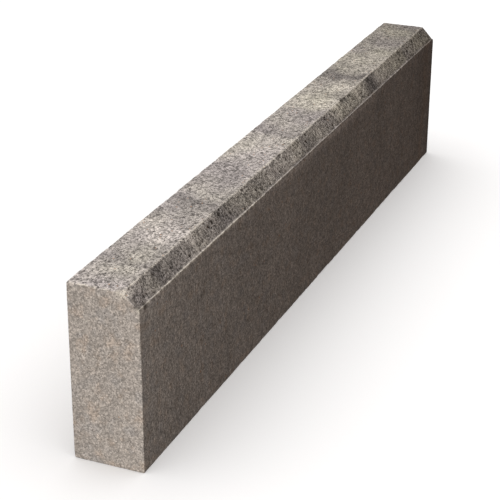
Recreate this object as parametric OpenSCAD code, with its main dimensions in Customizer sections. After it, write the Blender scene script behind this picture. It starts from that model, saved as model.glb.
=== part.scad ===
// Concrete kerb stone: one straight bar, cast and pressed in one piece, with a bevel along its
// front top edge. It stands on its bed. The origin is the middle of the bed, X runs along the
// stone, the bevelled front faces -Y, and Z is up. All sizes are in millimetres.

/* [Stone] */
// Length of the stone, end to end
stone_length = 1000; // [250:10:1200]
// Height, from the bed to the top
stone_height = 200; // [100:5:300]
// Width, from the front to the back
stone_width = 80; // [50:1:160]

/* [Bevel] */
// How far the bevel runs across the top, from its foot to its crest
bevel_run = 15; // [8:0.5:24]
// How far the bevel drops, from the top to its foot
bevel_drop = 15.5; // [8:0.5:40]
// Width of the flat ledge that the press leaves at the bevel's foot
ledge_width = 2.5; // [1.5:0.1:5]

/* [Arrises] */
// Radius of the crest, where the top meets the bevel
crest_radius = 4; // [1:0.5:8]
// Radius of the top arris at the back
back_radius = 1; // [0.5:0.25:4]
// Radius of the ledge's outer arris
ledge_radius = 1; // [0.25:0.05:1.25]
// Radius of the two long arrises at the bed
bed_radius = 1; // [0.5:0.25:4]
// Radius of every arris around the two ends
end_radius = 1; // [0.5:0.25:3]

/* [Hidden] */

// Facets in a full turn, enough to draw the small arrises smoothly
$fn = 48;
concrete_colour = [0.56, 0.53, 0.50];

front_y = -stone_width / 2;
back_y = stone_width / 2;
foot_y = front_y + ledge_width;
crest_y = foot_y + bevel_run;
foot_z = stone_height - bevel_drop;

// How far a cutting shape reaches past the surface that it cuts
spare = 5;
// Extra radius that lets an arc cross the side that it blends into, and not just touch it
hair = 0.001;

// Corners of the section as [y, z, radius of the arris], from the back of the top, down the
// back, across the bed, and up the front to the crest. The foot of the bevel stays sharp.
section = [
    [back_y, stone_height, back_radius],
    [back_y, 0, bed_radius],
    [front_y, 0, bed_radius],
    [front_y, foot_z, ledge_radius],
    [foot_y, foot_z, 0],
    [crest_y, stone_height, crest_radius]
];
sides = len(section);
ledge_side = 3;
bevel_side = 4;

// A corner of the section as a point, counting round past the last one to the first
function corner(i) = let (c = section[(i + sides) % sides]) [c[0], c[1]];
function unit(v) = v / norm(v);

// Side i runs from corner i to the next: its length, and its direction
function side_length(i) = norm(corner(i + 1) - corner(i));
function along(i) = unit(corner(i + 1) - corner(i));

// The way into the stone from a corner, halfway between its two sides, and half its angle
function inwards(i) = unit(along(i) - along(i - 1));
function half_angle(i) = acos(-along(i - 1) * along(i)) / 2;

// What a sharp corner of the section loses when it is rounded to a radius
module corner_waste(i, radius) {
    reach = radius / tan(half_angle(i));
    difference() {
        polygon([
            corner(i) - along(i - 1) * reach,
            corner(i) - inwards(i) * spare,
            corner(i) + along(i) * reach
        ]);
        translate(corner(i) + inwards(i) * radius / sin(half_angle(i)))
            circle(r = radius + hair);
    }
}

// The section across the stone
module section_outline() {
    difference() {
        polygon([for (i = [0 : sides - 1]) corner(i)]);
        for (i = [0 : sides - 1])
            if (section[i][2] > 0) corner_waste(i, section[i][2]);
    }
}

// What the sharp arris between the left end and side i loses when it is rounded: a strip along
// the side, hollow on its inner face, that runs on past the side's two corners
module end_waste(i) {
    translate([-stone_length / 2, corner(i)[0], corner(i)[1]])
        rotate([atan2(along(i)[1], along(i)[0]), 0, 0])
            translate([0, side_length(i) / 2, 0])
                rotate([-90, 0, 0])
                    linear_extrude(height = side_length(i) + 2 * spare, center = true)
                        difference() {
                            translate([-spare, -spare]) square(end_radius + spare);
                            translate([end_radius, end_radius])
                                circle(r = end_radius + hair);
                        }
}

// Everything that the left end loses. The strip along the bevel stops at the ledge, which
// keeps its full width out to the end.
module left_end_waste() {
    for (i = [0 : sides - 1])
        if (i != ledge_side && i != bevel_side) end_waste(i);
    intersection() {
        end_waste(bevel_side);
        translate([-stone_length, -stone_width, foot_z])
            cube([stone_length, 2 * stone_width, stone_height]);
    }
}

// The whole stone: its section along the full length, with the arrises of both ends rounded
module kerb_stone() {
    color(concrete_colour)
        difference() {
            rotate([90, 0, 90])
                linear_extrude(height = stone_length, center = true)
                    section_outline();
            left_end_waste();
            mirror([1, 0, 0]) left_end_waste();
        }
}

kerb_stone();
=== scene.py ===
"""Looks of a concrete kerb stone: its worn, open-grained surface, its concrete, and a studio.

The file is laid out as an add-on. Its panel lists one operator for the stone and one for the
stage, and their settings hold the sizes and colours that a user would change.
"""
import math

import bmesh
import bpy
import numpy as np
from bpy.props import FloatProperty, FloatVectorProperty, IntProperty, PointerProperty
from mathutils import Matrix, Vector


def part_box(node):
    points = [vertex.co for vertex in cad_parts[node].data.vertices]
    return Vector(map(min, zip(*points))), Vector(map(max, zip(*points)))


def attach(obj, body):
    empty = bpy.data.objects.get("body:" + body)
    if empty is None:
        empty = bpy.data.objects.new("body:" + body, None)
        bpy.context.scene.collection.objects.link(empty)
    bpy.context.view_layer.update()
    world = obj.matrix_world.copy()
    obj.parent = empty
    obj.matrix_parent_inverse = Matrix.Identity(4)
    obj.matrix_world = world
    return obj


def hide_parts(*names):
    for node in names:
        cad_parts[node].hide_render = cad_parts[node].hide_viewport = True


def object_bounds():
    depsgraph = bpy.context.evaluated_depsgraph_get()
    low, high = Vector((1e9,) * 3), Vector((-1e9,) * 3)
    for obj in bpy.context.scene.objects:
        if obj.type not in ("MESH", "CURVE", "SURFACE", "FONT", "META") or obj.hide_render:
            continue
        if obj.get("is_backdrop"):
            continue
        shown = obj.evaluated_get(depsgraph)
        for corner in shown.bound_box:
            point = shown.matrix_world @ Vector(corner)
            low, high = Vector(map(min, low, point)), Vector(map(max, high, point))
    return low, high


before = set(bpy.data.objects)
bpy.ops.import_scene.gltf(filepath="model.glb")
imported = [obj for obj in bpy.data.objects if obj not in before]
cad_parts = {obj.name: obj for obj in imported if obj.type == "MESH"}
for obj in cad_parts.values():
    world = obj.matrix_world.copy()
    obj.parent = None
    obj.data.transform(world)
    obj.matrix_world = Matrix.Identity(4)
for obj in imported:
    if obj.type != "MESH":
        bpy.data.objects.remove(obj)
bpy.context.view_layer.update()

bl_info = {
    "name": "Kerb Stone",
    "version": (1, 0, 0),
    "blender": (4, 5, 0),
    "location": "View3D > Sidebar > Kerb",
    "description": "A pressed concrete kerb stone with a bevelled top edge, and a studio for it",
    "category": "Object",
}

CAD_NODE = "kerb_stone"
MM = 0.001

# Spacing of the hubs that the rings of an end face shrink on to, and how far those hubs stand
# in from the end face, as a part of the stone's half length
HUB_STEP = 0.008
HUB_INSET = 0.0002
# The deepest that a face or an arris is worn
DEEPEST = 0.0022
# How deep the near end of the crest is broken away, and the way in from the broken corner
BREAK_DEPTH = 0.0036
BREAK_WAY = (0.60, 0.26, -0.757)

# Middle of the rusty band round the sides near the far end, and its half width
RUST_BAND = (0.463, 0.014)

# The colour-mix streaks that stand out, given to the centimetre along the stone. Seeded
# noise draws the lesser ones.
DARK_STREAKS = (-0.43, -0.26, -0.02, 0.23)
PALE_STREAKS = (-0.34, 0.09, 0.17)
STREAK_HALF_WIDTH = 0.014
DARK_STREAK = -0.42
PALE_STREAK = 0.28

# Nicks knocked out of the surface: (along, across, up from the bed, radius, depth)
NICKS = (
    (-0.500, -0.036, 0.186, 0.0032, 0.0009),
    (-0.484, -0.039, 0.182, 0.0036, 0.0016),
    (-0.425, -0.039, 0.185, 0.0020, 0.0010),
    (-0.348, -0.040, 0.137, 0.0034, 0.0010),
    (-0.354, -0.040, 0.134, 0.0034, 0.0009),
    (-0.365, -0.040, 0.134, 0.0030, 0.0007),
    (-0.095, -0.024, 0.199, 0.0030, 0.0014),
    (0.130, -0.024, 0.199, 0.0040, 0.0018),
    (0.139, -0.024, 0.198, 0.0035, 0.0016),
    (-0.438, -0.023, 0.199, 0.0034, 0.0010),
    (-0.456, -0.023, 0.200, 0.0030, 0.0008),
)

# From the stone's middle to the point that the camera aims at
AIM_OFFSET = (-0.0422, 0.0352, -0.05605)

FLOOR_REACH = 30.0
FLOOR_LIGHT = 3.42
ROOM_GLOW = (0.094, 0.076, 0.068)
# Square softboxes: (name, place, aim, size, power, colour)
SOFTBOXES = (
    ("key_softbox", (-0.2, 0.68, 1.27), (0.0, 0.0, 0.1), 0.6, 19.2, (1.0, 1.0, 1.0)),
    ("end_softbox", (-1.85, -0.35, 0.27), (-0.5, 0.0, 0.1), 0.5, 17.0, (1.0, 0.985, 0.95)),
)

# Darker than the concrete round them: painted shade in small pores, and dirt and painted shade
# in the bottoms of pits and nicks
PORE_SHADE_COLOUR = (0.060, 0.050, 0.046)
HOLLOW_DIRT_AND_SHADE_COLOUR = (0.070, 0.060, 0.055)
# Stains on the sides and the ends
RUST_COLOUR = (0.43, 0.35, 0.29)
SLATE_COLOUR = (0.355, 0.335, 0.325)
# Single grains that stand out
RUSTY_SPECK = (0.46, 0.26, 0.15)
PALE_SPECK = (0.60, 0.56, 0.50)


# ---------------------------------------------------------------------------------- settings


def length_setting(name, description, default):
    """A size in metres."""
    return FloatProperty(name=name, description=description, default=default, min=0.0,
                         unit="LENGTH", subtype="DISTANCE", precision=5)


def colour_setting(name, description, default):
    """A linear colour."""
    return FloatVectorProperty(name=name, description=description, default=default, size=3,
                               min=0.0, max=1.0, subtype="COLOR")


class KerbShapeSettings(bpy.types.PropertyGroup):
    """Sizes of the stone's section and of its relief."""

    bevel_run: length_setting("Bevel run", "From the bevel's foot to its crest, across", 0.015)
    bevel_drop: length_setting("Bevel drop", "From the top down to the bevel's foot", 0.0155)
    ledge_width: length_setting("Ledge width", "Flat left at the bevel's foot", 0.0025)
    crest_radius: length_setting("Crest radius", "Arris between top and bevel", 0.003)
    back_radius: length_setting("Back radius", "Top arris at the back", 0.001)
    ledge_radius: length_setting("Ledge radius", "Outer arris of the ledge", 0.001)
    bed_radius: length_setting("Bed radius", "Long arrises at the bed", 0.001)
    end_radius: length_setting("End radius", "Arrises round both ends", 0.001)
    station: length_setting("Station", "Spacing of the rings along the stone", 0.0017)
    seed: IntProperty(name="Seed", description="Changes every random draw", default=7, min=0)


class KerbConcreteSettings(bpy.types.PropertyGroup):
    """Colours of the concrete."""

    body: colour_setting("Body", "Sides and ends", (0.400, 0.360, 0.328))
    facing: colour_setting("Facing", "Top and bevel, at the cool end", (0.376, 0.340, 0.325))
    facing_warm: colour_setting("Warm facing", "Top and bevel, at the warm end",
                                (0.384, 0.356, 0.300))
    crumb: colour_setting("Crumb", "Broken arrises, where pale sand shows", (0.68, 0.62, 0.54))


class KerbStageSettings(bpy.types.PropertyGroup):
    """Floor, lights and camera."""

    floor: colour_setting("Floor", "Colour of the floor", (0.93, 0.93, 0.93))
    azimuth: FloatProperty(name="Azimuth", description="Camera's turn round the stone",
                           default=math.radians(-67.54), subtype="ANGLE")
    elevation: FloatProperty(name="Elevation", description="Camera's height angle",
                             default=math.radians(24.34), subtype="ANGLE")
    roll: FloatProperty(name="Roll", description="Camera's turn about its own axis",
                        default=math.radians(0.28), subtype="ANGLE")
    distance: length_setting("Distance", "Camera to the point that it aims at", 1.9140)
    lens: FloatProperty(name="Lens", description="Focal length in millimetres", default=108.53)


# ------------------------------------------------------------------------------------- noise


def soft_noise(points, size, seed):
    """Random values on a lattice of cells of this size, blended between each cell's corners.

    The blend weight along each axis is the smooth step 3t^2 - 2t^3 of the place in the cell, and
    the value runs from -1 to 1. The size is one length, or one for each axis.
    """
    scaled = points / np.asarray(size, float)
    cell = np.floor(scaled).astype(int)
    t = scaled - cell
    t = t * t * (3 - 2 * t)
    cell -= cell.min(axis=0)
    values = np.random.default_rng(seed).uniform(-1, 1, cell.max(axis=0) + 2)
    total = np.zeros(len(points))
    for corner in np.ndindex(2, 2, 2):
        weight = np.prod(np.where(corner, t, 1 - t), axis=1)
        i, j, k = (cell + corner).T
        total += weight * values[i, j, k]
    return total


def rough_noise(points, size, seed, octaves=3):
    """Soft noise added up at halving sizes and halving strengths."""
    total = np.zeros(len(points))
    for octave in range(octaves):
        total += soft_noise(points, np.asarray(size) / 2**octave, seed + 101 * octave) / 2**octave
    return total


def pits(points, spacing, radius, chance, seed):
    """Depth of round pits, one to a lattice cell where the draw allows it.

    Each cell draws a centre inside itself and a radius, and the pit is the part of that ball
    around the centre: its depth is the radius times the square root of 1 - (distance/radius)^2.
    """
    rng = np.random.default_rng(seed)
    scaled = points / spacing
    cell = np.floor(scaled).astype(int)
    low = cell.min(axis=0) - 1
    shape = tuple(cell.max(axis=0) - low + 2)
    centres = rng.uniform(0, 1, shape + (3,))
    radii = rng.uniform(*radius, shape) * (rng.uniform(0, 1, shape) < chance)
    depth = np.zeros(len(points))
    for step in np.ndindex(3, 3, 3):
        near = cell + np.array(step) - 1
        i, j, k = (near - low).T
        away = np.linalg.norm(scaled - near - centres[i, j, k], axis=1) * spacing
        r = radii[i, j, k]
        ball = 1 - (away / np.maximum(r, 1e-9)) ** 2
        depth = np.maximum(depth, r * np.sqrt(np.clip(ball, 0, 1)))
    return depth


def softened(values, passes, closed):
    """Values along a line, each averaged with its two neighbours, this many times over."""
    sides = ((1, 1),) + ((0, 0),) * (values.ndim - 1)
    for _ in range(passes):
        wide = np.pad(values, sides, mode="wrap" if closed else "edge")
        values = (wide[:-2] + 2 * wide[1:-1] + wide[2:]) / 4
    return values


def bump_weight(distance, width):
    """One at no distance, falling smoothly to nothing over a few widths."""
    return np.exp(-((distance / width) ** 2))


# ------------------------------------------------------------------------------------- shape


class Section:
    """The stone's section: its corners, and the closed outline of points around it."""

    def __init__(self, shape, low, high):
        front, back = low.y, high.y
        bed, top = low.z, high.z
        foot_y = front + shape.ledge_width
        foot_z = top - shape.bevel_drop
        self.half_width = (back - front) / 2
        self.middle_y = (back + front) / 2
        self.foot = np.array([foot_y, foot_z])
        self.crest = np.array([foot_y + shape.bevel_run, top])
        self.lip = np.array([front, foot_z])
        self.back_top = np.array([back, top])
        self.back_bed = np.array([back, bed])
        self.front_bed = np.array([front, bed])
        self.low_hub = bed + self.half_width
        self.high_hub = top - self.half_width
        self.points = self.outline(shape)
        self.normals = self.outward(self.points)
        hub_z = np.round(self.points[:, 1] / HUB_STEP) * HUB_STEP
        self.hubs = np.stack([
            np.full(len(self.points), self.middle_y),
            np.clip(hub_z, self.low_hub, self.high_hub),
        ], axis=1)

    @staticmethod
    def arc(before, corner, after, radius, steps):
        """Points round a corner: the circle of this radius that touches both of its sides."""
        u = (before - corner) / np.linalg.norm(before - corner)
        v = (after - corner) / np.linalg.norm(after - corner)
        half = math.acos(float(u @ v)) / 2
        middle = (u + v) / np.linalg.norm(u + v)
        centre = corner + middle * radius / math.sin(half)
        start = corner + u * radius / math.tan(half) - centre
        end = corner + v * radius / math.tan(half) - centre
        turn = math.atan2(start[0] * end[1] - start[1] * end[0], float(start @ end))
        angle = np.linspace(0, turn, steps + 1)
        return centre + np.stack([
            start[0] * np.cos(angle) - start[1] * np.sin(angle),
            start[0] * np.sin(angle) + start[1] * np.cos(angle),
        ], axis=1)

    @staticmethod
    def between(a, b, spacing):
        """Evenly spaced points from a to b, without the two themselves."""
        steps = max(1, round(float(np.linalg.norm(b - a)) / spacing))
        return a + (b - a) * (np.arange(1, steps) / steps)[:, None]

    def outline(self, shape):
        """The closed outline, from the bed round by the back, the top and the bevel."""
        corners = (self.front_bed, self.back_bed, self.back_top, self.crest, self.foot, self.lip)
        front_bed, back_bed, back_top, crest, foot, lip = corners
        a = self.arc(lip, front_bed, back_bed, shape.bed_radius, 3)
        b = self.arc(front_bed, back_bed, back_top, shape.bed_radius, 3)
        c = self.arc(back_bed, back_top, crest, shape.back_radius, 4)
        d = self.arc(back_top, crest, foot, shape.crest_radius, 4)
        e = foot[None]
        f = self.arc(foot, lip, front_bed, shape.ledge_radius, 3)
        fine_end = np.array([lip[0], lip[1] - 15 * MM])
        return np.concatenate([
            a, self.between(a[-1], b[0], 10 * MM),
            b, self.between(b[-1], c[0], 7.5 * MM),
            c, self.between(c[-1], d[0], 1.7 * MM),
            d, self.between(d[-1], foot, 1.5 * MM),
            e, self.between(foot, f[0], 0.6 * MM),
            f, self.between(f[-1], fine_end, 2 * MM),
            fine_end[None], self.between(fine_end, a[0], 4.8 * MM),
        ])

    @staticmethod
    def outward(points):
        """Unit normals of an outline that runs counter-clockwise in the Y-Z plane.

        They are softened along the outline, so that wear deeper than an arris's radius doesn't
        fold the surface over.
        """
        along = np.roll(points, -1, axis=0) - np.roll(points, 1, axis=0)
        along /= np.linalg.norm(along, axis=1, keepdims=True)
        normal = softened(np.stack([along[:, 1], -along[:, 0]], axis=1), 12, closed=True)
        return normal / np.linalg.norm(normal, axis=1, keepdims=True)


def ring_stations(low, high, radius, station, half_width):
    """Where the rings of points stand: for each, its X, its shrink, and its normal's X part.

    Along the stone a ring is the whole section. Round each end's arris it moves on by the sine of
    a quarter turn and shrinks by the cosine's loss, and across the end face it shrinks on to the
    hubs, in steps that grow towards the middle.
    """
    # Behind each end's arris the first rings stand closer together
    near = np.array([0.0, 1.0, 2.0, 3.1, 4.3, 5.7]) * MM
    steps = round((high - low - 2 * (radius + near[-1])) / station)
    run = np.linspace(low + radius + near[-1], high - radius - near[-1], steps + 1)
    body = np.concatenate([low + radius + near[:-1], run, high - radius - near[:-1][::-1]])
    turn = np.linspace(0, math.pi / 2, 5)[1:]
    arc_x = radius * np.sin(turn)
    arc_in = radius * (1 - np.cos(turn)) / half_width
    face = np.cumsum(np.concatenate([np.full(5, 0.9), np.geomspace(1.1, 4.6, 12)]))
    face_in = arc_in[-1] + (1 - arc_in[-1]) * face / face[-1]
    x = np.concatenate([
        np.full(len(face), low), low + radius - arc_x[::-1], body,
        high - radius + arc_x, np.full(len(face), high),
    ])
    shrink = np.concatenate([
        face_in[::-1], arc_in[::-1], np.zeros(len(body)), arc_in, face_in,
    ])
    lean = np.concatenate([
        -np.ones(len(face)), -np.sin(turn[::-1]), np.zeros(len(body)),
        np.sin(turn), np.ones(len(face)),
    ])
    return x, shrink, softened(lean, 7, closed=False)


def base_grid(section, x, shrink, lean):
    """Points and normals of the smooth stone, ring by ring: each ring is the outline, drawn in
    towards its hubs by the ring's shrink, and its normals lean over by the ring's X part."""
    rings, around = len(x), len(section.points)
    outline = section.points + shrink[:, None, None] * (section.hubs - section.points)
    points = np.empty((rings, around, 3))
    points[..., 0] = x[:, None]
    points[..., 1:] = outline
    normals = np.empty_like(points)
    normals[..., 0] = lean[:, None]
    normals[..., 1:] = section.normals * np.sqrt(1 - lean**2)[:, None, None]
    return points.reshape(-1, 3), normals.reshape(-1, 3)


def grid_faces(rings, around):
    """Quads between each ring and the next, closed round the section."""
    ring = np.arange(rings - 1)[:, None] * around
    here = np.arange(around)[None]
    after = (here + 1) % around
    quads = np.stack([ring + here, ring + after, ring + around + after, ring + around + here], -1)
    return quads.reshape(-1, 4)


def side_weights(points, section):
    """How much each point belongs to the facing and to the bevel, from 0 to 1.

    The facing fades out over a millimetre or so under the top and the bevel, and its part in
    front of the crest is the bevel.
    """
    y, z = points[:, 1], points[:, 2]
    slope = section.crest - section.foot
    across = np.array([-slope[1], slope[0]]) / np.linalg.norm(slope)
    under_bevel = -((points[:, 1:] - section.crest) @ across)
    depth = np.minimum(section.crest[1] - z, under_bevel)
    above_foot = np.clip((z - section.foot[1] + 0.2 * MM) / (1.2 * MM), 0, 1)
    facing = np.clip(1.5 - depth / (1.0 * MM), 0, 1) * above_foot
    in_front = np.clip(0.5 - (y - section.crest[0]) / (1.6 * MM), 0, 1)
    return {"facing": facing, "bevel": facing * in_front}


def edge_distances(points, section, low, high):
    """Distance of each point from the long arrises and from the ends."""
    flat = points[:, 1:]
    names = ("crest", "foot", "lip", "back_top", "back_bed", "front_bed")
    away = {name: np.linalg.norm(flat - getattr(section, name), axis=1) for name in names}
    away["near_end"] = points[:, 0] - low
    away["end"] = np.minimum(points[:, 0] - low, high - points[:, 0])
    away["down"] = section.foot[1] - points[:, 2]
    return away


def nicks(points):
    """Depth of the listed nicks: a smooth dip of each one's depth over its radius."""
    depth = np.zeros(len(points))
    for along, across, up, radius, deep in NICKS:
        away = np.linalg.norm(points - (along, across, up), axis=1)
        depth = np.maximum(depth, deep * bump_weight(away, radius))
    return depth


def corner_break(points, away, seed):
    """How far each point belongs to the corner broken off the near end of the crest, 0 to 1.

    It is one at the corner and falls off smoothly along the stone and round its section, with
    a ragged outline.
    """
    ragged = 1 + 0.22 * rough_noise(points, 6 * MM, seed + 30, 2)
    along = bump_weight(away["near_end"] * ragged, 9 * MM)
    return along * bump_weight(away["crest"] * ragged, 7 * MM)


def arris_wear(facing, away, chips, crumbs, runs, broad):
    """Depth in millimetres by which the arrises are worn: each one's own mix of chips, crumbs
    and runs, which falls off smoothly with the distance from that arris."""
    plain = 1 - facing
    back = bump_weight(away["back_top"], 2.6 * MM)
    worn = back * (0.35 * np.clip(chips, 0, 1) + 0.30 * np.clip(crumbs, 0, 1))
    crest = bump_weight(away["crest"], 2.8 * MM)
    worn += crest * (0.35 * np.clip(chips, -0.3, 1) + 0.40 * np.clip(runs, -0.3, 1))
    far = np.clip(away["near_end"] / 0.9, 0, 1)
    lip = bump_weight(away["lip"], 2.2 * MM) * (1 - 0.55 * bump_weight(away["near_end"], 5 * MM))
    ragged = 0.65 - 0.25 * far
    worn += lip * (0.50 + 0.35 * far + 0.35 * broad + ragged * (chips + crumbs))
    foot = bump_weight(away["foot"], 1.8 * MM)
    worn += foot * 0.45 * np.clip(crumbs + broad, -1, 1)
    beds = bump_weight(np.minimum(away["back_bed"], away["front_bed"]), 3 * MM)
    worn += beds * 0.5 * np.clip(chips, 0, 1)

    rim = bump_weight(away["end"], 2.0 * MM) * np.minimum(1, facing + 0.30)
    worn += rim * (0.20 * np.clip(chips, 0, 1) + 0.22 * np.clip(crumbs, 0, 1))
    near_rim = bump_weight(away["near_end"], 2.6 * MM) * facing
    worn += near_rim * (0.30 + 0.7 * np.clip(crumbs, -0.3, 1) + 0.5 * np.clip(chips, 0, 1))
    corner = bump_weight(away["near_end"], 22 * MM) * bump_weight(away["lip"], 55 * MM) * plain
    worn += corner * (1.0 + 0.3 * chips)
    return worn


def relief(points, weights, away, seed):
    """Depth in metres by which each point of the smooth stone is worn or pressed inwards, and
    the part of it that is pits and nicks.

    Everywhere there is a long slow swell. The facing adds open-grained lumps and pits, the bevel
    adds runs down its slope, the sides add upright drag marks, and the arrises add their wear.
    The sum is bent over by tanh so that it never gets deeper than the deepest wear.
    """
    facing, bevel = weights["facing"], weights["bevel"]
    swell = soft_noise(points, 70 * MM, seed + 1)
    lumps = rough_noise(points, 6.5 * MM, seed, 2)
    runs = rough_noise(points, (3.6 * MM, 16 * MM, 16 * MM), seed + 3, 2)
    runs *= 1 - bump_weight(away["near_end"], 9 * MM)
    drag = rough_noise(points, (4 * MM, 4 * MM, 60 * MM), seed + 2, 2)
    chips = rough_noise(points, 10 * MM, seed + 4, 3)
    crumbs = rough_noise(points, 4.5 * MM, seed + 5, 2)
    broad = soft_noise(points, 34 * MM, seed + 6)

    worn = 0.06 * (1 + swell)
    worn += facing * (0.10 + 0.20 * lumps)
    worn += bevel * (0.06 + 0.16 * runs)
    worn += (1 - facing) * (0.07 + 0.05 * drag)
    worn += arris_wear(facing, away, chips, crumbs, runs, broad)

    holes = 0.62 * facing * pits(points, 6.5 * MM, (1.2 * MM, 2.4 * MM), 0.5, seed + 7)
    holes += nicks(points)
    depth = np.clip(worn * MM + holes, 0, None)
    return DEEPEST * np.tanh(depth / DEEPEST), holes


def facing_streaks_and_light(points, lean, bevel, seed):
    """The facing's lightness, as a power of e: the streaks, two sizes of seeded noise, and painted
    light and shade along the stone: the top lighter and the bevel a little darker at the near
    end, the bevel lighter away from it, and all darker towards the far end."""
    along = points[:, 0]
    shade = np.zeros(len(points))
    for places, lightness in ((DARK_STREAKS, DARK_STREAK), (PALE_STREAKS, PALE_STREAK)):
        for place in places:
            shade += lightness * bump_weight(lean[:, 0] - place, STREAK_HALF_WIDTH)
    shade += 0.20 * rough_noise(lean, (0.028, 0.25, 0.25), seed + 31, 2)
    shade = np.where(shade < 0, shade * (1 + 0.4 * bevel), shade)
    shade += 0.13 * rough_noise(lean, (0.030, 0.020, 0.020), seed + 22, 3)
    # Painted light: the bevel lighter away from the near end
    shade += bevel * 0.16 * np.clip((along + 0.40) / 0.20, 0, 1)
    # Painted light and shade at the near end: the top lighter, the bevel a little darker
    shade += (0.14 - 0.22 * bevel) * bump_weight(along + 0.5, 0.10)
    # Painted shade: darker towards the far end, where the light falls off
    shade -= 0.12 * np.clip((along - 0.3) / 0.15, 0, 1)
    return shade


def crumb_cover(points, weights, away, broken, crumbs, broad):
    """How far pale sand shows at each point: on the ledge, round the near end of the facing,
    along the crest, and where the near corners are broken. On the ledge more of it shows towards
    the near end, which is painted light."""
    facing, bevel = weights["facing"], weights["bevel"]
    along = points[:, 0]
    ledge = bump_weight(away["lip"] - 0.6 * MM, 1.2 * MM) * (bevel < 0.7)
    # Pale sand on the ledge, with painted light: much more of it towards the near end
    ledge_sand_and_light = 0.12 + 1.05 / (1 + np.exp((along + 0.19) / 0.03)) - 0.08 * np.clip(along / 0.3, 0, 1)
    rim = bump_weight(away["near_end"], (2.6 + 1.6 * bevel) * MM) * facing
    edge = bump_weight(away["crest"] - 0.4 * MM, 1.6 * MM) * np.clip(1.2 - 1.2 * bevel, 0, 1)
    near_lip = bump_weight(away["near_end"], 3 * MM) * bump_weight(away["lip"], 4 * MM)
    corners = np.maximum(broken * np.clip(0.35 + facing, 0, 1), near_lip)
    crumb = ledge * (ledge_sand_and_light + 0.75 * crumbs - 0.45 * broad)
    crumb = np.maximum(crumb, rim * (0.5 + 0.8 * crumbs))
    crumb = np.maximum(crumb, edge * (0.85 + 0.5 * crumbs + 0.2 * broad))
    return np.maximum(crumb, (2.4 + 0.6 * crumbs) * corners)


def body_tone_and_shade(points, lean, away, painted_crease_shade, broad, seed):
    """The sides' lightness, as a power of e: lighter under the ledge, darker towards the far end
    as painted shade where the light falls off, darker still at the far end, painted shade in the
    crease at the bevel's foot, and soft seeded noise."""
    along = points[:, 0]
    under_ledge = bump_weight(away["lip"], 9 * MM) * np.clip(away["down"] / (1.5 * MM) - 0.5, 0, 1)
    tone_and_painted_shade = under_ledge * (0.10 + 0.50 * bump_weight(along - 0.02, 0.17) + 0.10 * broad)
    # Painted shade: darker away from the near end, and more so towards the far end
    tone_and_painted_shade -= 0.055 * np.clip((along + 0.5) / 0.2, 0, 1) + 0.13 * np.clip((along - 0.28) / 0.16, 0, 1)
    # Darker at the far end, and painted shade in the crease at the bevel's foot
    tone_and_painted_shade -= 0.30 * bump_weight(along - 0.5, 0.012) + 0.5 * painted_crease_shade
    return tone_and_painted_shade + 0.10 * soft_noise(lean, (0.05, 0.05, 0.12), seed + 24)


def surface_attributes(points, weights, away, broken, holes, seed):
    """What the concrete needs to know of each point.

    facing runs from 0 to 1, and run is how far marks run down the bevel and the sides, which
    they do nowhere near the ends. shade is the facing's lightness and tone the body's, each as
    a power of e; the first holds painted light and shade besides its streaks, and the second
    painted shade. warmth goes from 0 for purple-grey to 1 for cream on the facing, and is a rusty
    band near the far end on the body. crumb is how far pale sand shows, and hollow is how deep a
    point lies in a pit or a nick.
    """
    facing, bevel = weights["facing"], weights["bevel"]
    lean = points.copy()
    lean[:, 0] += 0.016 * soft_noise(points, (0.06, 0.03, 0.03), seed + 20)
    lean[:, 0] += 0.007 * soft_noise(points, 0.014, seed + 21)
    crumbs = rough_noise(points, 5 * MM, seed + 5, 2)
    broad = soft_noise(points, 34 * MM, seed + 6)
    # Painted shade in the crease at the bevel's foot
    painted_crease_shade = bump_weight(away["foot"], 1.3 * MM)

    shade = facing_streaks_and_light(points, lean, bevel, seed)
    warmth = 0.36 + 0.50 * points[:, 0] + 0.45 * rough_noise(lean, 0.05, seed + 23, 2)
    warmth += 0.7 * shade + 0.2 * bevel
    band = bump_weight(lean[:, 0] - RUST_BAND[0], RUST_BAND[1])
    # Painted light on the broken near corner, stronger on the bevel to lift it out of the bevel's
    # shade, and painted shade on the bevel in the crease at its foot
    shade += 0.8 * broken * (0.4 + bevel) - 0.4 * painted_crease_shade * bevel
    crumb = crumb_cover(points, weights, away, broken, crumbs, broad)
    return {
        "facing": facing,
        "run": np.where(facing > 0.5, bevel, 1) * (1 - bump_weight(away["end"], 16 * MM)),
        "shade": shade,
        "tone_and_painted_shade": body_tone_and_shade(points, lean, away, painted_crease_shade, broad, seed),
        "warmth": np.clip(facing * warmth + (1 - facing) * band, 0, 1),
        "crumb": np.clip(crumb, 0, 1),
        "hollow": np.clip(holes * (1 - broken) / (1.0 * MM), 0, 1),
    }


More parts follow.
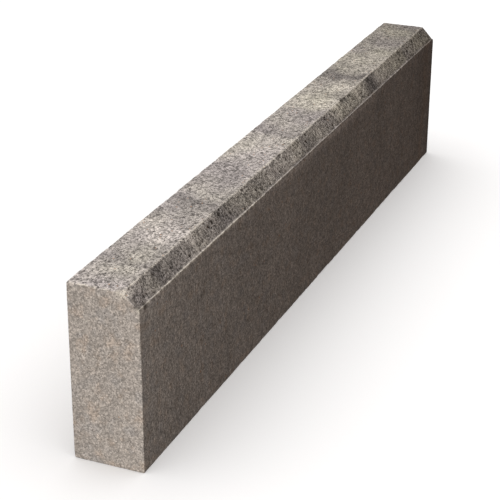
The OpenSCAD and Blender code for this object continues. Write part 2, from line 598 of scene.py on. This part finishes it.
def build_stone(shape):
    """The whole stone as one closed mesh."""
    low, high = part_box(CAD_NODE)
    section = Section(shape, low, high)
    x, shrink, lean = ring_stations(low.x, high.x, shape.end_radius, shape.station,
                                    section.half_width)
    points, normals = base_grid(section, x, shrink, lean)
    weights = side_weights(points, section)
    away = edge_distances(points, section, low.x, high.x)
    depth, holes = relief(points, weights, away, shape.seed)
    broken = corner_break(points, away, shape.seed)
    attributes = surface_attributes(points, weights, away, broken, holes, shape.seed)
    worn = points - normals * depth[:, None]
    worn += np.array(BREAK_WAY) * BREAK_DEPTH * broken[:, None]
    last = shrink == 1
    worn = worn.reshape(len(x), -1, 3)
    worn[last, :, 0] = x[last, None] * (1 - HUB_INSET)
    worn[last, :, 1:] = section.hubs
    worn = worn.reshape(-1, 3)

    mesh = bpy.data.meshes.new("kerb_concrete")
    faces = grid_faces(len(x), len(section.points))
    mesh.from_pydata(worn.tolist(), [], faces.tolist())
    for name, values in attributes.items():
        layer = mesh.attributes.new(name, "FLOAT", "POINT")
        layer.data.foreach_set("value", values.astype(np.float32))
    weld(mesh)
    mesh.polygons.foreach_set("use_smooth", np.ones(len(mesh.polygons), bool))
    piece = bpy.data.objects.new("kerb_concrete", mesh)
    bpy.context.scene.collection.objects.link(piece)
    return piece


def weld(mesh):
    """Merges the points that meet at the hubs, and turns every face outwards."""
    work = bmesh.new()
    work.from_mesh(mesh)
    bmesh.ops.remove_doubles(work, verts=work.verts, dist=0.01 * MM)
    bmesh.ops.recalc_face_normals(work, faces=work.faces)
    work.to_mesh(mesh)
    work.free()


# ---------------------------------------------------------------------------------- concrete


class Nodes:
    """A material's node tree, with short ways to add what the concrete is mixed from."""

    def __init__(self, name):
        self.material = bpy.data.materials.new(name)
        self.material.use_nodes = True
        self.tree = self.material.node_tree
        self.shader = self.tree.nodes["Principled BSDF"]
        self.place = self.add("ShaderNodeTexCoord").outputs["Object"]

    def add(self, kind, inputs=None, **settings):
        """A node with its settings and its inputs: values are set, and sockets are linked."""
        node = self.tree.nodes.new(kind)
        for name, value in settings.items():
            setattr(node, name, value)
        for key, value in (inputs or {}).items():
            self.feed(node.inputs[key], value)
        return node

    def feed(self, socket, value):
        """Sets a socket to a value, or links it to another socket."""
        if isinstance(value, bpy.types.NodeSocket):
            self.tree.links.new(value, socket)
        else:
            socket.default_value = value

    def stretch(self, size, tilt=0.0):
        """Object coordinates in cells of this size, tilted about X by an angle."""
        size = size if isinstance(size, tuple) else (size,) * 3
        return self.add("ShaderNodeMapping", {
            "Vector": self.place, "Scale": size, "Rotation": (tilt, 0.0, 0.0),
        }, vector_type="TEXTURE").outputs[0]

    def noise(self, size, detail=2.0, rough=0.5, tilt=0.0):
        """Soft noise about one half, in blobs of this size."""
        return self.add("ShaderNodeTexNoise", {
            "Vector": self.stretch(size, tilt), "Scale": 1.0, "Detail": detail,
            "Roughness": rough,
        }).outputs["Fac"]

    def grains(self, size):
        """Cells of this size: a random colour for each, and the distance from its middle."""
        node = self.add("ShaderNodeTexVoronoi", {"Vector": self.stretch(size), "Scale": 1.0})
        return node.outputs["Color"], node.outputs["Distance"]

    def layers(self, level, *parts):
        """The level, plus each part's distance from one half times its strength."""
        total = level
        for part, strength in parts:
            lifted = self.math("SUBTRACT", part, 0.5)
            total = self.math("MULTIPLY_ADD", lifted, strength, total)
        return total

    def channel(self, colour, index):
        """One channel of a colour, as a number."""
        return self.add("ShaderNodeSeparateColor", {0: colour}).outputs[index]

    def span(self, value, low, high, new_low=0.0, new_high=1.0, smooth=False):
        """Carries the range from low to high over to a new range, and clamps it there."""
        return self.add("ShaderNodeMapRange", {
            "Value": value, "From Min": low, "From Max": high,
            "To Min": new_low, "To Max": new_high,
        }, interpolation_type="SMOOTHSTEP" if smooth else "LINEAR").outputs[0]

    def math(self, operation, a, b=0.0, c=0.0, clamp=False):
        """One sum, of up to three numbers."""
        return self.add("ShaderNodeMath", {0: a, 1: b, 2: c}, operation=operation,
                        use_clamp=clamp).outputs[0]

    def mix(self, factor, a, b):
        """Colour a, going over to colour b as the factor goes to 1."""
        node = self.add("ShaderNodeMix", data_type="RGBA")
        sockets = {"Factor": node.inputs[0], "A": node.inputs[6], "B": node.inputs[7]}
        for key, value in (("Factor", factor), ("A", a), ("B", b)):
            self.feed(sockets[key], opaque(value))
        return node.outputs[2]

    def shade(self, colour, brightness):
        """A colour made lighter or darker by a number."""
        node = self.add("ShaderNodeVectorMath", operation="SCALE")
        self.feed(node.inputs[0], colour)
        self.feed(node.inputs["Scale"], brightness)
        return node.outputs[0]

    def attribute(self, name):
        """A number that the mesh holds at each point."""
        return self.add("ShaderNodeAttribute", attribute_name=name).outputs["Fac"]


def opaque(value):
    """A colour of three numbers with its alpha added; anything else unchanged."""
    if isinstance(value, (tuple, list)) and len(value) == 3:
        return (*value, 1.0)
    return value


def concrete(colours, slope):
    """Pressed concrete: plain grey-brown sides with fine sand, and a colour-mixed facing.

    Each part's colour is its base colour times e to the power of its lightness, which adds up
    the mesh's own shade or tone, which hold painted light and shade, the clouds, and the sizes
    of sand grain. Crumbs, pores painted dark as their shade, hollows darkened with dirt and
    painted shade, and single specks are mixed over it. The slope is the bevel's angle from upright.
    """
    n = Nodes("concrete")
    facing = n.attribute("facing")
    run = n.attribute("run")
    warmth = n.attribute("warmth")
    crumb = n.attribute("crumb")
    hollow = n.attribute("hollow")

    # Sand, whose cells are bent a little so that no grain has a straight side
    plain_place = n.place
    bend = n.add("ShaderNodeTexNoise", {
        "Vector": n.stretch(2.2 * MM), "Scale": 1.0, "Detail": 2.0,
    }).outputs["Color"]
    bend = n.add("ShaderNodeVectorMath", {0: bend, 1: (0.5, 0.5, 0.5)}, operation="SUBTRACT")
    n.place = n.add("ShaderNodeVectorMath", {
        0: bend.outputs[0], 1: (2.2 * MM,) * 3, 2: plain_place,
    }, operation="MULTIPLY_ADD").outputs[0]
    coarse, coarse_away = n.grains(3.4 * MM)
    fine, fine_away = n.grains(1.5 * MM)
    coarse_tone = n.channel(coarse, 0)
    fine_tone = n.channel(fine, 0)
    n.place = plain_place

    # Facing
    dust = n.noise(1.1 * MM, 1.0, 0.5)
    open_grain = n.noise(3.0 * MM, 2.0, 0.6)
    clouds = n.noise(10 * MM, 2.0, 0.55)
    runs = n.noise((2.4 * MM, 2.4 * MM, 11 * MM), 2.0, 0.6, tilt=-slope)
    runs = n.math("MULTIPLY_ADD", n.math("SUBTRACT", runs, 0.46), run, 0.5)
    grain_light = n.layers(0.05, (coarse_tone, 0.62), (fine_tone, 1.25), (dust, 1.2),
                           (open_grain, 2.3), (clouds, 1.25), (runs, 1.9))
    # Capped softly, so that the dark grains stand out more than the pale ones
    grain_light = n.math("SMOOTH_MIN", grain_light, 0.52, 0.5)
    # The facing's lightness from the mesh holds painted light and shade besides its streaks
    face_light = n.math("ADD", grain_light, n.attribute("shade"))
    face_base = n.mix(warmth, tuple(colours.facing), tuple(colours.facing_warm))
    face_colour = n.shade(face_base, n.math("EXPONENT", face_light))

    # Body
    drag = n.noise((2.2 * MM, 2.2 * MM, 13 * MM), 2.0, 0.6)
    drag = n.math("MULTIPLY_ADD", n.math("SUBTRACT", drag, 0.5), run, 0.5)
    body_cloud = n.noise(9 * MM, 3.0, 0.6)
    # The body's lightness from the mesh holds painted shade towards the far end and in the crease
    body_light = n.layers(n.attribute("tone_and_painted_shade"), (coarse_tone, 0.15), (fine_tone, 0.80),
                          (dust, 0.9), (open_grain, 0.6), (drag, 0.9), (body_cloud, 0.45))
    rust = n.span(n.noise(13 * MM, 2.0, 0.5), 0.50, 0.72, 0.0, 0.6, smooth=True)
    slate = n.span(n.noise(15 * MM, 2.0, 0.5), 0.50, 0.72, 0.0, 0.5, smooth=True)
    rust = n.math("MAXIMUM", rust, n.math("MULTIPLY", warmth, 0.8))
    body_base = n.mix(rust, tuple(colours.body), RUST_COLOUR)
    body_base = n.mix(slate, body_base, SLATE_COLOUR)
    body_colour = n.shade(body_base, n.math("EXPONENT", body_light))

    colour = n.mix(facing, body_colour, face_colour)

    # Crumbs: the pale sand that shows where an arris has broken
    crumb_break = n.layers(0.85, (fine_tone, 1.1), (open_grain, 2.2))
    colour = n.mix(n.math("MULTIPLY", crumb, crumb_break, clamp=True), colour,
                   tuple(colours.crumb))

    # Pores: small holes painted dark as the shade in them, thick on the facing and rare on the
    # sides
    pore_draw = n.noise(2.6 * MM, 1.0, 0.5)
    pore_edge = n.math("MULTIPLY_ADD", facing, 0.105, 0.255)
    pore = n.span(n.math("SUBTRACT", pore_edge, pore_draw), -0.03, 0.05, smooth=True)
    colour = n.mix(n.math("MULTIPLY", pore, 0.55), colour, PORE_SHADE_COLOUR)
    # Dirt and painted shade in the bottoms of pits and nicks
    colour = n.mix(n.math("MULTIPLY", hollow, 0.75), colour, HOLLOW_DIRT_AND_SHADE_COLOUR)

    # Specks: single pale and rusty grains
    speck_cell, speck_away = n.grains(6.7 * MM)
    speck_draw = n.channel(speck_cell, 2)
    speck = n.math("LESS_THAN", speck_away, n.span(speck_draw, 0.62, 1.0, 0.0, 0.22))
    speck_hue = n.channel(speck_cell, 0)
    speck_colour = n.mix(n.math("GREATER_THAN", speck_hue, 0.30), RUSTY_SPECK, PALE_SPECK)
    colour = n.mix(n.math("MULTIPLY", speck, 0.7), colour, speck_colour)

    n.feed(n.shader.inputs["Base Color"], colour)
    n.shader.inputs["Roughness"].default_value = 0.92
    n.shader.inputs["Specular IOR Level"].default_value = 0.25

    # Bump: grains stand out, pores sink in, drag marks run up the sides
    height = n.layers(0.0, (coarse_away, -0.5), (fine_away, -0.4), (open_grain, 1.4), (drag, 0.5))
    height = n.math("SUBTRACT", height, n.math("MULTIPLY", pore, 0.7))
    rough = n.math("MULTIPLY_ADD", facing, 0.55, 0.35)
    bump = n.add("ShaderNodeBump", {"Height": height, "Strength": rough, "Distance": 0.7 * MM})
    n.feed(n.shader.inputs["Normal"], bump.outputs[0])
    return n.material


# ------------------------------------------------------------------------------------- stage


def paint_floor(colour):
    """A plain matt floor."""
    n = Nodes("studio_floor")
    n.shader.inputs["Base Color"].default_value = (*colour, 1.0)
    n.shader.inputs["Roughness"].default_value = 1.0
    n.shader.inputs["Specular IOR Level"].default_value = 0.0
    return n.material


def lay_floor(colour):
    """A wide floor under the stone. It doesn't throw light back up at the stone's sides."""
    low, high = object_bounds()
    middle = (low + high) / 2
    corners = [(middle.x + sx * FLOOR_REACH, middle.y + sy * FLOOR_REACH, low.z)
               for sx, sy in ((-1, -1), (1, -1), (1, 1), (-1, 1))]
    mesh = bpy.data.meshes.new("studio_floor")
    mesh.from_pydata(corners, [], [(0, 1, 2, 3)])
    mesh.materials.append(paint_floor(colour))
    floor = bpy.data.objects.new("studio_floor", mesh)
    bpy.context.scene.collection.objects.link(floor)
    floor.visible_diffuse = False
    floor.visible_glossy = False
    return floor


def lit_only(holder, objects):
    """Links a light to these objects, so that it lights nothing else."""
    lit = bpy.data.collections.new(holder.name + "_lights")
    for item in objects:
        lit.objects.link(item)
    holder.light_linking.receiver_collection = lit


def add_softbox(name, place, aim, size, power, colour, objects):
    """A square area light at a place, turned towards a point, which lights these objects."""
    lamp = bpy.data.lights.new(name, "AREA")
    lamp.shape = "SQUARE"
    lamp.size = size
    lamp.energy = power
    lamp.color = colour
    holder = bpy.data.objects.new(name, lamp)
    bpy.context.scene.collection.objects.link(holder)
    holder.location = place
    holder.rotation_euler = (Vector(aim) - Vector(place)).to_track_quat("-Z", "Y").to_euler()
    lit_only(holder, objects)


def light_floor(floor, strength):
    """A wide overhead light that reaches the floor alone, and keeps it evenly pale."""
    lamp = bpy.data.lights.new("floor_light", "SUN")
    lamp.energy = strength
    lamp.angle = math.radians(120)
    holder = bpy.data.objects.new("floor_light", lamp)
    bpy.context.scene.collection.objects.link(holder)
    lit_only(holder, [floor])


def fill_room(glow):
    """A dim even glow from all round; the room itself looks white."""
    world = bpy.data.worlds.new("studio")
    world.use_nodes = True
    tree = world.node_tree
    background = tree.nodes["Background"]
    background.inputs["Color"].default_value = (*glow, 1.0)
    backdrop = tree.nodes.new("ShaderNodeBackground")
    backdrop.inputs["Color"].default_value = (1.0, 1.0, 1.0, 1.0)
    seen = tree.nodes.new("ShaderNodeLightPath")
    choose = tree.nodes.new("ShaderNodeMixShader")
    tree.links.new(seen.outputs["Is Camera Ray"], choose.inputs[0])
    tree.links.new(background.outputs[0], choose.inputs[1])
    tree.links.new(backdrop.outputs[0], choose.inputs[2])
    tree.links.new(choose.outputs[0], tree.nodes["World Output"].inputs["Surface"])
    bpy.context.scene.world = world


def add_camera(stage):
    """The camera, by the angles and the distance from which it looks at its aim."""
    low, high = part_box(CAD_NODE)
    aim = (low + high) / 2 + Vector(AIM_OFFSET)
    flat = math.cos(stage.elevation)
    back = Vector((math.sin(stage.azimuth) * flat, -math.cos(stage.azimuth) * flat,
                   math.sin(stage.elevation)))
    level_right = (-back).cross(Vector((0, 0, 1))).normalized()
    level_up = level_right.cross(-back)
    right = level_right * math.cos(stage.roll) + level_up * math.sin(stage.roll)
    up = level_up * math.cos(stage.roll) - level_right * math.sin(stage.roll)
    data = bpy.data.cameras.new("camera")
    data.lens = stage.lens
    data.sensor_width = 36.0
    camera = bpy.data.objects.new("camera", data)
    turn = Matrix((right, up, back)).transposed().to_4x4()
    camera.matrix_world = Matrix.Translation(aim + back * stage.distance) @ turn
    bpy.context.scene.collection.objects.link(camera)
    bpy.context.scene.camera = camera


# --------------------------------------------------------------------------------- operators


class KERB_OT_make_stone(bpy.types.Operator):
    """Makes the worn concrete stone and puts it in the place of the plain one"""

    bl_idname = "kerb.make_stone"
    bl_label = "Make Stone"

    def execute(self, context):
        shape = context.scene.kerb_shape
        slope = math.atan2(shape.bevel_run, shape.bevel_drop)
        piece = build_stone(shape)
        piece.data.materials.append(concrete(context.scene.kerb_concrete, slope))
        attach(piece, "root")
        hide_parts(CAD_NODE)
        return {"FINISHED"}


class KERB_OT_make_stage(bpy.types.Operator):
    """Makes the pale floor, the soft lights and the camera"""

    bl_idname = "kerb.make_stage"
    bl_label = "Make Stage"

    def execute(self, context):
        stage = context.scene.kerb_stage
        floor = lay_floor(tuple(stage.floor))
        floor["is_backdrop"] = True
        light_floor(floor, FLOOR_LIGHT)
        fill_room(ROOM_GLOW)
        stones = [item for item in context.scene.objects if item.type == "MESH" and item != floor]
        for softbox in SOFTBOXES:
            add_softbox(*softbox, stones)
        add_camera(stage)
        context.scene.view_settings.view_transform = "Standard"
        return {"FINISHED"}


class KERB_PT_panel(bpy.types.Panel):
    """Lists the settings, and the operators in the order in which they run"""

    bl_label = "Kerb Stone"
    bl_idname = "KERB_PT_panel"
    bl_space_type = "VIEW_3D"
    bl_region_type = "UI"
    bl_category = "Kerb"

    def draw(self, context):
        scene = context.scene
        for label, settings, operator in (
            ("Stone", scene.kerb_shape, KERB_OT_make_stone),
            ("Concrete", scene.kerb_concrete, None),
            ("Stage", scene.kerb_stage, KERB_OT_make_stage),
        ):
            box = self.layout.box()
            box.label(text=label)
            for name in settings.__annotations__:
                box.prop(settings, name)
            if operator:
                box.operator(operator.bl_idname)


CLASSES = (
    KerbShapeSettings,
    KerbConcreteSettings,
    KerbStageSettings,
    KERB_OT_make_stone,
    KERB_OT_make_stage,
    KERB_PT_panel,
)


def register():
    for cls in CLASSES:
        bpy.utils.register_class(cls)
    bpy.types.Scene.kerb_shape = PointerProperty(type=KerbShapeSettings)
    bpy.types.Scene.kerb_concrete = PointerProperty(type=KerbConcreteSettings)
    bpy.types.Scene.kerb_stage = PointerProperty(type=KerbStageSettings)


def unregister():
    del bpy.types.Scene.kerb_stage
    del bpy.types.Scene.kerb_concrete
    del bpy.types.Scene.kerb_shape
    for cls in reversed(CLASSES):
        bpy.utils.unregister_class(cls)


def main():
    register()
    bpy.ops.kerb.make_stone()
    bpy.ops.kerb.make_stage()


if __name__ == "__main__":
    main()
